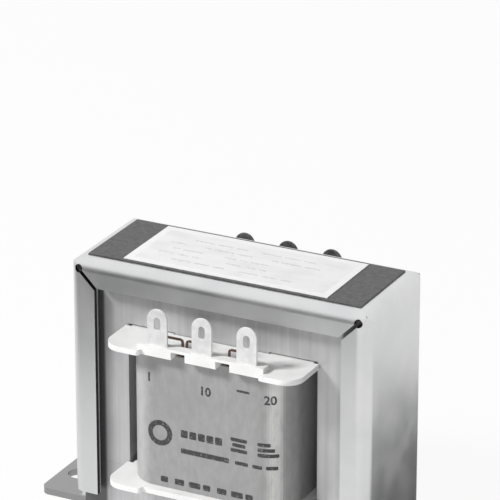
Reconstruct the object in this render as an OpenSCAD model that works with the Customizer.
// Laminated mains transformer in a bent channel frame, for chassis mounting.
// Millimetres. Origin on the mounting plane, midway between the feet; +Z up, front towards -Y.

/* [Core] */
// Width of the centre leg of the E sheets
centre_leg_w = 22; // [18:0.5:26]
// Width of each outer leg of the E sheets
outer_leg_w = 11; // [8:0.5:14]
// Width of each winding window
window_w = 11; // [10:0.5:14]
// Height of the winding windows
window_h = 33; // [28:0.5:40]
// Height of the yokes: the back of each E and the whole of each I
yoke_h = 11; // [8:0.5:14]
// Thickness of the whole stack of sheets
stack_t = 22; // [18:0.5:30]
// Pairs of packets in the stack, each one packet upright and one inverted
packet_pairs = 11; // [4:1:14]
// Height of the core's underside above the mounting plane
core_lift = 1; // [0.4:0.1:2]

/* [Channel frame] */
// Thickness of the sheet that the frame is bent from
sheet_t = 1.5; // [1:0.1:2]
// Inner radius of every bend in the frame
bend_r = 1.2; // [0.5:0.1:1.8]
// Width of the flanges folded over the front and back, from the frame's outside
flange_w = 6; // [5:0.1:9]
// Width of the gap where the flanges meet in a mitre
mitre_gap = 0.8; // [0.2:0.1:1.2]
// Radius of the relief hole at the outer end of each mitre
relief_r = 0.9; // [0.6:0.1:1.2]
// Distance from the middle of a relief hole to the frame's outside
relief_in = 2.25; // [2:0.05:3]
// Height of the lower ends of the flanges above the mounting plane
flange_end = 5; // [4:0.5:8]

/* [Feet] */
// Length of each foot beyond the middle of its slot
foot_tail = 5; // [4.2:0.1:8]
// Width of each foot
foot_w = 19; // [14:0.5:21]
// Radius of the outer corners of the feet
foot_corner_r = 2; // [1:0.5:4]
// Distance between the centres of the two mounting slots
slot_pitch = 80; // [79:0.5:90]
// Width of the mounting slots
slot_w = 4.8; // [3.5:0.1:6]
// Length of the mounting slots, end to end
slot_l = 6.4; // [6:0.1:7]

/* [Bobbin] */
// Thickness of the bobbin's tube and its two flanges
bobbin_wall = 1.2; // [0.8:0.1:1.6]
// Clearance between the bobbin and the centre leg
leg_fit = 0.2; // [0.1:0.05:0.5]
// Clearance between the bobbin's flanges and the outer legs
flange_fit = 0.9; // [0.4:0.1:1.5]
// Clearance between the bobbin, which stands on the lower yoke, and the upper one
yoke_fit = 0.3; // [0.1:0.05:0.5]
// Clearance between the wide ends of the flanges and the core's faces
face_fit = 0.3; // [0.1:0.05:0.6]
// Reach of the flanges beyond the core, front and back
overhang = 11; // [10:0.5:14]
// Width of the wing at each corner of a flange
wing_w = 8.7; // [7:0.1:10]
// Reach of the wings past the sides of the winding windows
wing_side = 0.4; // [0.1:0.1:2]
// Length by which the wings stand forward of the edge between them
wing_l = 1.2; // [0.6:0.1:2]
// Radius of the wings' outer corners
wing_r = 4; // [2:0.1:5]
// Radius of the wings' inner corners
step_r = 0.8; // [0.3:0.1:1.2]
// Height of the terminal rail above the top flange
rail_h = 1.1; // [0.6:0.1:2]
// Depth of the terminal rail from the flange's edge
rail_w = 2.4; // [2:0.1:3]
// Width of the notches that the winding ends come up through
notch_w = 3.2; // [2:0.1:3.4]
// Depth of those notches from the flange's edge
notch_l = 3.8; // [3.6:0.1:4.4]
// Height by which the notches cut into the rail above them
notch_rise = 0.5; // [0.1:0.1:0.5]

/* [Windings] */
// Build of the primary winding
primary_build = 2.9; // [2.5:0.1:3.6]
// Thickness of the insulation between the windings
inter_t = 0.3; // [0.1:0.05:0.5]
// Build of the secondary winding
secondary_build = 2.7; // [2.5:0.1:3.3]
// Thickness of the insulation over the windings
cover_t = 0.3; // [0.1:0.05:0.5]
// Thickness of the printed paper wrap round the coil
wrap_t = 0.2; // [0.1:0.05:0.4]
// Diameter of the copper wire of the winding ends
lead_d = 0.6; // [0.4:0.05:0.8]
// Distance between two leads that share a notch, centre to centre
lead_pitch = 1; // [0.9:0.05:1.2]
// Height above the terminal rail at which the leads run to the lugs
lead_rise = 1.2; // [1.1:0.05:1.5]

/* [Terminals] */
// Distance between neighbouring solder lugs
lug_pitch = 10.3; // [9.5:0.1:11]
// Width of the head of a lug
lug_w = 4.6; // [3.5:0.1:5]
// Height of the head of a front lug above the rail
lug_h = 8; // [6.5:0.1:10]
// Height of the head of a back lug above the rail
back_lug_h = 10.6; // [6.5:0.1:13]
// Thickness of a lug
lug_t = 0.6; // [0.4:0.1:0.8]
// Width of the stem that goes down through the rail
stem_w = 2.6; // [1.6:0.1:3]
// Distance from the rail's front edge to the middle of the lugs
lug_inset = 1; // [0.8:0.1:1.2]
// Width of the eyelet in a lug
eyelet_w = 1.5; // [0.8:0.1:2]
// Height of the eyelet in a lug
eyelet_h = 2.8; // [2.4:0.1:3.4]
// Distance from the top of a lug down to the middle of its eyelet
eyelet_drop = 3.2; // [2.8:0.1:3.8]
// Radius of the solder on the back of a lug
solder_r = 1; // [0.7:0.1:1.2]

/* [Labels] */
// Thickness of the dark plate on the top of the frame
plate_t = 0.3; // [0.1:0.05:0.6]
// Margin between the plate and the start of the bends round it
plate_margin = 0.3; // [0.1:0.1:1.5]
// Length of the white label in the middle of the plate
label_l = 47; // [30:1:56]
// Distance from the label to the plate's long edges
label_inset = 0.8; // [0.2:0.1:3]
// Thickness of the white label
label_t = 0.15; // [0.05:0.05:0.3]

/* [Hidden] */

$fn = 48;
cut = 1;          // how far a cutting shape runs past what it cuts

// Core
core_w = centre_leg_w + 2 * (window_w + outer_leg_w);
core_h = window_h + 2 * yoke_h;
core_top = core_lift + core_h;
window_z0 = core_lift + yoke_h;
window_z1 = window_z0 + window_h;
window_x = centre_leg_w / 2 + window_w;      // inner side of an outer leg
core_y = stack_t / 2;
packet_t = stack_t / (2 * packet_pairs);

// Channel frame: it grips the core's sides, and its bends clear the core's edges
bend_out = bend_r + sheet_t;
frame_x = core_w / 2 + sheet_t;
frame_y = core_y + bend_out;
frame_top = core_top + bend_out;
foot_end = slot_pitch / 2 + foot_tail;

// Bobbin and coil
tube_in_x = centre_leg_w / 2 + leg_fit;
tube_in_y = core_y + leg_fit;
tube_x = tube_in_x + bobbin_wall;
tube_y = tube_in_y + bobbin_wall;
tube_r = 0.6;                                // rounding of the tube's outer edges
bobbin_z0 = window_z0;
bobbin_z1 = window_z1 - yoke_fit;
coil_z0 = bobbin_z0 + bobbin_wall;
coil_z1 = bobbin_z1 - bobbin_wall;
bobbin_x = window_x - flange_fit;
bobbin_y = core_y + overhang;
wing_x = window_x + wing_side;
face_y = core_y + face_fit;                  // where the flanges may be wider than the windows
rail_x = wing_x - wing_w;                    // half the length of the edge between the wings
rail_y = bobbin_y - wing_l;                  // where that edge lies
rail_top = bobbin_z1 + rail_h;
notch_x = lug_pitch / 2;

// Builds of the coil, from the tube outwards
primary_out = primary_build;
inter_out = primary_out + inter_t;
secondary_out = inter_out + secondary_build;
cover_out = secondary_out + cover_t;
wrap_out = cover_out + wrap_t;

// Lugs and leads
lug_y = rail_y - lug_inset;
stem_l = rail_h + bobbin_wall;
lead_y = rail_y - notch_l + lead_d;          // where the leads come up behind the rail
lead_z = rail_top + lead_rise;
lead_bend = 0.5;                             // distance over which a lead turns a corner
lead_sides = 8;

// ---------------------------------------------------------------- plain shapes

// Rectangle with round corners, centred
module round_rect(x, y, r) {
    square([x, y - 2 * r], center = true);
    square([x - 2 * r, y], center = true);
    for (sx = [-1, 1], sy = [-1, 1])
        translate([sx * (x / 2 - r), sy * (y / 2 - r)]) circle(r);
}

// Slot with round ends along X, centred, cut through from z0 to z1
module slot_x(l, w, z0, z1) {
    translate([-(l - w) / 2, -w / 2, z0]) cube([l - w, w, z1 - z0]);
    for (s = [-1, 1]) translate([s * (l - w) / 2, 0, z0]) cylinder(d = w, h = z1 - z0);
}

// One layer of the coil: a ring between two builds on the bobbin's tube
module coil_ring(inner, outer) {
    translate([0, 0, coil_z0]) linear_extrude(coil_z1 - coil_z0) difference() {
        round_rect(2 * (tube_x + outer), 2 * (tube_y + outer), tube_r + outer);
        round_rect(2 * (tube_x + inner), 2 * (tube_y + inner), tube_r + inner);
    }
}

// ---------------------------------------------------------------- channel frame

// Box open at the bottom, with its upright and upper edges rounded as bent sheet is
module bent_box(x, y, top, r) {
    intersection() {
        translate([0, 0, -cut]) linear_extrude(top + 2 * cut) round_rect(2 * x, 2 * y, r);
        translate([0, y + cut, 0]) rotate([90, 0, 0])
            linear_extrude(2 * (y + cut)) arch(x, top, r);
        translate([-x - cut, 0, 0]) rotate([90, 0, 90])
            linear_extrude(2 * (x + cut)) arch(y, top, r);
    }
}

// Upright rectangle with its two upper corners rounded, running below the plane z = 0
module arch(x, top, r) {
    translate([-x, -cut]) square([2 * x, top - r + cut]);
    translate([-(x - r), -cut]) square([2 * (x - r), top + cut]);
    for (s = [-1, 1]) translate([s * (x - r), top - r]) circle(r);
}

// Mitre between two flanges: a slit from the flanges' inner corner to a round relief
module mitre_cut() {
    inner = frame_x - flange_w;
    reach = flange_w - relief_in;
    translate([inner + reach, 0, frame_top - flange_w + reach]) rotate([90, 0, 0])
        cylinder(r = relief_r, h = 2 * (frame_y + cut), center = true);
    translate([inner, 0, frame_top - flange_w]) rotate([0, -45, 0])
        translate([-cut, -frame_y - cut, -mitre_gap / 2])
            cube([reach * sqrt(2) + cut, 2 * (frame_y + cut), mitre_gap]);
}

// Web, foot and the bend between them, seen from the front, on the right-hand side
module foot_profile() {
    bend_x = frame_x + bend_r;
    translate([frame_x - sheet_t, bend_out]) square([sheet_t, flange_end + cut]);
    intersection() {
        translate([bend_x, bend_out]) difference() {
            circle(bend_out);
            circle(bend_r);
        }
        translate([frame_x - sheet_t, 0]) square([bend_out, bend_out]);
    }
    translate([bend_x, 0]) square([foot_end - bend_x, sheet_t]);
}

module foot() {
    difference() {
        intersection() {
            translate([0, foot_w / 2, 0]) rotate([90, 0, 0])
                linear_extrude(foot_w) foot_profile();
            translate([0, 0, -cut]) linear_extrude(flange_end + bend_out + 3 * cut)
                round_rect(2 * foot_end, foot_w, foot_corner_r);
        }
        translate([slot_pitch / 2, 0, 0]) slot_x(slot_l, slot_w, -cut, sheet_t + cut);
    }
}

module channel_frame() {
    color("silver") {
        difference() {
            bent_box(frame_x, frame_y, frame_top, bend_out);
            bent_box(frame_x - sheet_t, frame_y - sheet_t, frame_top - sheet_t, bend_r);
            // opening between the flanges, front and back
            translate([-(frame_x - flange_w), -frame_y - cut, -2 * cut])
                cube([2 * (frame_x - flange_w), 2 * (frame_y + cut),
                      frame_top - flange_w + 2 * cut]);
            // slits only through the flanges, not through the top web
            for (s = [0, 1]) mirror([s, 0, 0]) difference() {
                mitre_cut();
                cube([3 * frame_x, 2 * core_y, 3 * frame_top], center = true);
            }
            // lower ends of the flanges
            translate([-frame_x - cut, -frame_y - cut, -2 * cut])
                cube([2 * (frame_x + cut), 2 * (frame_y + cut), flange_end + 2 * cut]);
        }
        for (s = [0, 1]) mirror([s, 0, 0]) foot();
    }
}

// ---------------------------------------------------------------- core

// E sheet with its yoke on top, seen from the front
module e_outline() {
    leg_z0 = core_lift + yoke_h;
    translate([-core_w / 2, window_z1]) square([core_w, yoke_h]);
    translate([-centre_leg_w / 2, leg_z0]) square([centre_leg_w, window_h + yoke_h / 2]);
    for (s = [0, 1]) mirror([s, 0])
        translate([window_x, leg_z0]) square([outer_leg_w, window_h + yoke_h / 2]);
}

module i_outline() {
    translate([-core_w / 2, core_lift]) square([core_w, yoke_h]);
}

// Every second packet of the stack, from packet `first` on, with the outline given
module packets(first) {
    for (i = [first : 2 : 2 * packet_pairs - 1])
        translate([0, -core_y + (i + 1) * packet_t, 0]) rotate([90, 0, 0])
            linear_extrude(packet_t) children();
}

// The same outline turned over, so that its yoke changes ends
module turned_over() {
    translate([0, 2 * core_lift + core_h]) mirror([0, 1]) children();
}

module e_laminations_upright() { color("dimgray") packets(0) e_outline(); }
module e_laminations_inverted() { color("dimgray") packets(1) turned_over() e_outline(); }
module i_laminations_bottom() { color("gray") packets(0) i_outline(); }
module i_laminations_top() { color("gray") packets(1) turned_over() i_outline(); }

// ---------------------------------------------------------------- bobbin

// Flange seen from above: the part inside the windows, and wider ends clear of the core's faces
module flange_outline() {
    square([2 * bobbin_x, 2 * rail_y], center = true);
    for (sx = [0, 1], sy = [0, 1]) mirror([sx, 0]) mirror([0, sy]) wing();
}

// Wing at one corner of a flange, with its two front corners rounded
module wing() {
    outer_x = wing_x - wing_r;
    translate([rail_x, face_y]) square([outer_x - rail_x, bobbin_y - step_r - face_y]);
    translate([rail_x + step_r, face_y])
        square([outer_x - rail_x - step_r, bobbin_y - face_y]);
    translate([rail_x + step_r, bobbin_y - step_r]) circle(step_r);
    translate([outer_x, face_y]) square([wing_r, bobbin_y - wing_r - face_y]);
    translate([outer_x, bobbin_y - wing_r]) circle(wing_r);
}

// Notches in the front and back edges, which the rails bridge
module notches() {
    for (sx = [-1, 1], sy = [-1, 1])
        translate([sx * notch_x - notch_w / 2, sy > 0 ? rail_y - notch_l : -rail_y - cut])
            square([notch_w, notch_l + cut]);
}

module terminal_rails() {
    for (s = [0, 1]) mirror([0, s])
        translate([-rail_x - step_r, rail_y - rail_w]) square([2 * (rail_x + step_r), rail_w]);
}

module stem_slots() {
    for (i = [-1 : 1], s = [-1, 1])
        translate([i * lug_pitch, s * lug_y]) square([stem_w, lug_t], center = true);
}

module bobbin() {
    color("whitesmoke") {
        translate([0, 0, coil_z0 - bobbin_wall / 2])
            linear_extrude(coil_z1 - coil_z0 + bobbin_wall) difference() {
                round_rect(2 * tube_x, 2 * tube_y, tube_r);
                square([2 * tube_in_x, 2 * tube_in_y], center = true);
            }
        translate([0, 0, bobbin_z0]) linear_extrude(bobbin_wall) difference() {
            flange_outline();
            square([2 * tube_in_x, 2 * tube_in_y], center = true);
        }
        difference() {
            union() {
                translate([0, 0, bobbin_z1 - bobbin_wall]) linear_extrude(bobbin_wall)
                    difference() {
                        flange_outline();
                        square([2 * tube_in_x, 2 * tube_in_y], center = true);
                    }
                translate([0, 0, bobbin_z1 - bobbin_wall / 2])
                    linear_extrude(rail_h + bobbin_wall / 2) terminal_rails();
            }
            translate([0, 0, bobbin_z1 - bobbin_wall - cut])
                linear_extrude(bobbin_wall + notch_rise + cut) notches();
            translate([0, 0, bobbin_z1 - bobbin_wall - cut])
                linear_extrude(stem_l + 2 * cut) stem_slots();
        }
    }
}

// ---------------------------------------------------------------- coil

module primary_winding() { color("peru") coil_ring(0, primary_out); }
module interwinding_insulation() { color("khaki") coil_ring(primary_out, inter_out); }
module secondary_winding() { color("sienna") coil_ring(inter_out, secondary_out); }
module outer_insulation() { color("gold") coil_ring(secondary_out, cover_out); }
module coil_wrap() { color("lightgray") coil_ring(cover_out, wrap_out); }

// ---------------------------------------------------------------- terminals

// Solder lug number i from the left, -1 to 1, standing on the front rail or the back one
module lug(i, side) {
    h = side < 0 ? lug_h : back_lug_h;
    eyelet_z = rail_top + h - eyelet_drop;
    color("gainsboro") translate([i * lug_pitch, side * lug_y + lug_t / 2, 0])
        rotate([90, 0, 0]) linear_extrude(lug_t) difference() {
            union() {
                translate([-stem_w / 2, rail_top - stem_l]) square([stem_w, stem_l + lug_w / 2]);
                translate([-lug_w / 2, rail_top]) square([lug_w, h - lug_w / 2]);
                translate([0, rail_top + h - lug_w / 2]) circle(lug_w / 2);
            }
            translate([-eyelet_w / 2, eyelet_z - (eyelet_h - eyelet_w) / 2])
                square([eyelet_w, eyelet_h - eyelet_w]);
            for (s = [-1, 1])
                translate([0, eyelet_z + s * (eyelet_h - eyelet_w) / 2]) circle(eyelet_w / 2);
        }
}

// Route of a lead from the winding at from_x up and along to lug i, with its corners eased
function lead_route(i, from_x, side) =
    let (b = lead_bend, e = 0.3 * lead_bend, to = i * lug_pitch, d = sign(to - from_x)) [
        [from_x, side * lead_y, coil_z1],
        [from_x, side * lead_y, lead_z - b],
        [from_x + d * e, side * lead_y, lead_z - e],
        [from_x + d * b, side * lead_y, lead_z],
        [to - d * b, side * lead_y, lead_z],
        [to - d * e, side * (lead_y + e), lead_z],
        [to, side * (lead_y + b), lead_z],
        [to, side * (lug_y - lug_t / 2), lead_z]];

function unit(v) = v / norm(v);

// Direction of the route at point k: along it at the ends, halfway between runs elsewhere
function heading(p, k) =
    k == 0 ? unit(p[1] - p[0]) :
    k == len(p) - 1 ? unit(p[k] - p[k - 1]) :
    unit(unit(p[k + 1] - p[k]) + unit(p[k] - p[k - 1]));

// Round tube swept along points p, with its rings square to the route
module tube(p, d) {
    n = lead_sides;
    rings = [for (k = [0 : len(p) - 1])
        let (h = heading(p, k),
             u = unit(cross(h, abs(h[2]) > 0.5 ? [0, 1, 0] : [0, 0, 1])),
             v = cross(h, u))
        for (a = [0 : n - 1]) p[k] + d / 2 * (cos(360 * a / n) * u + sin(360 * a / n) * v)];
    sides = [for (k = [0 : len(p) - 2], a = [0 : n - 1])
        [k * n + a, (k + 1) * n + a, (k + 1) * n + (a + 1) % n, k * n + (a + 1) % n]];
    first = [for (a = [0 : n - 1]) a];
    last = [for (a = [n - 1 : -1 : 0]) (len(p) - 1) * n + a];
    polyhedron(rings, concat(sides, [first, last]));
}

// The middle lug's lead shares the left-hand notch with the left lug's, side by side
module lead(i, side) {
    from_x = i == 1 ? notch_x : -notch_x + (i + 0.5) * lead_pitch;
    color("chocolate") tube(lead_route(i, from_x, side), lead_d);
}

// Dome of solder on the inner face of each lug, round the end of its lead
module solder_joints() {
    color("darkgray") for (i = [-1 : 1], s = [0, 1]) mirror([0, s, 0])
        translate([i * lug_pitch, lug_y - lug_t / 2, lead_z]) rotate([90, 0, 0])
            difference() {
                intersection() {
                    translate([0, 0, -0.2 * solder_r]) sphere(solder_r);
                    cylinder(r = 2 * solder_r, h = 2 * solder_r);
                }
                translate([0, 0, -cut]) cylinder(d = lead_d, h = 2 * solder_r + 2 * cut);
            }
}

// ---------------------------------------------------------------- labels

plate_x = frame_x - bend_out - plate_margin;
plate_y = frame_y - bend_out - plate_margin;

module top_plate() {
    color("darkslategray") translate([-plate_x, -plate_y, frame_top])
        cube([2 * plate_x, 2 * plate_y, plate_t]);
}

module top_label() {
    label_y = plate_y - label_inset;
    color("white") translate([-label_l / 2, -label_y, frame_top + plate_t])
        cube([label_l, 2 * label_y, label_t]);
}

// ---------------------------------------------------------------- assembly

channel_frame();
e_laminations_upright();
e_laminations_inverted();
i_laminations_bottom();
i_laminations_top();
bobbin();
primary_winding();
interwinding_insulation();
secondary_winding();
outer_insulation();
coil_wrap();
lug(-1, -1);  // lug_front_left
lug(0, -1);  // lug_front_middle
lug(1, -1);  // lug_front_right
lug(-1, 1);  // lug_back_left
lug(0, 1);  // lug_back_middle
lug(1, 1);  // lug_back_right
lead(-1, -1);  // lead_front_left
lead(0, -1);  // lead_front_middle
lead(1, -1);  // lead_front_right
lead(-1, 1);  // lead_back_left
lead(0, 1);  // lead_back_middle
lead(1, 1);  // lead_back_right
solder_joints();
top_plate();
top_label();
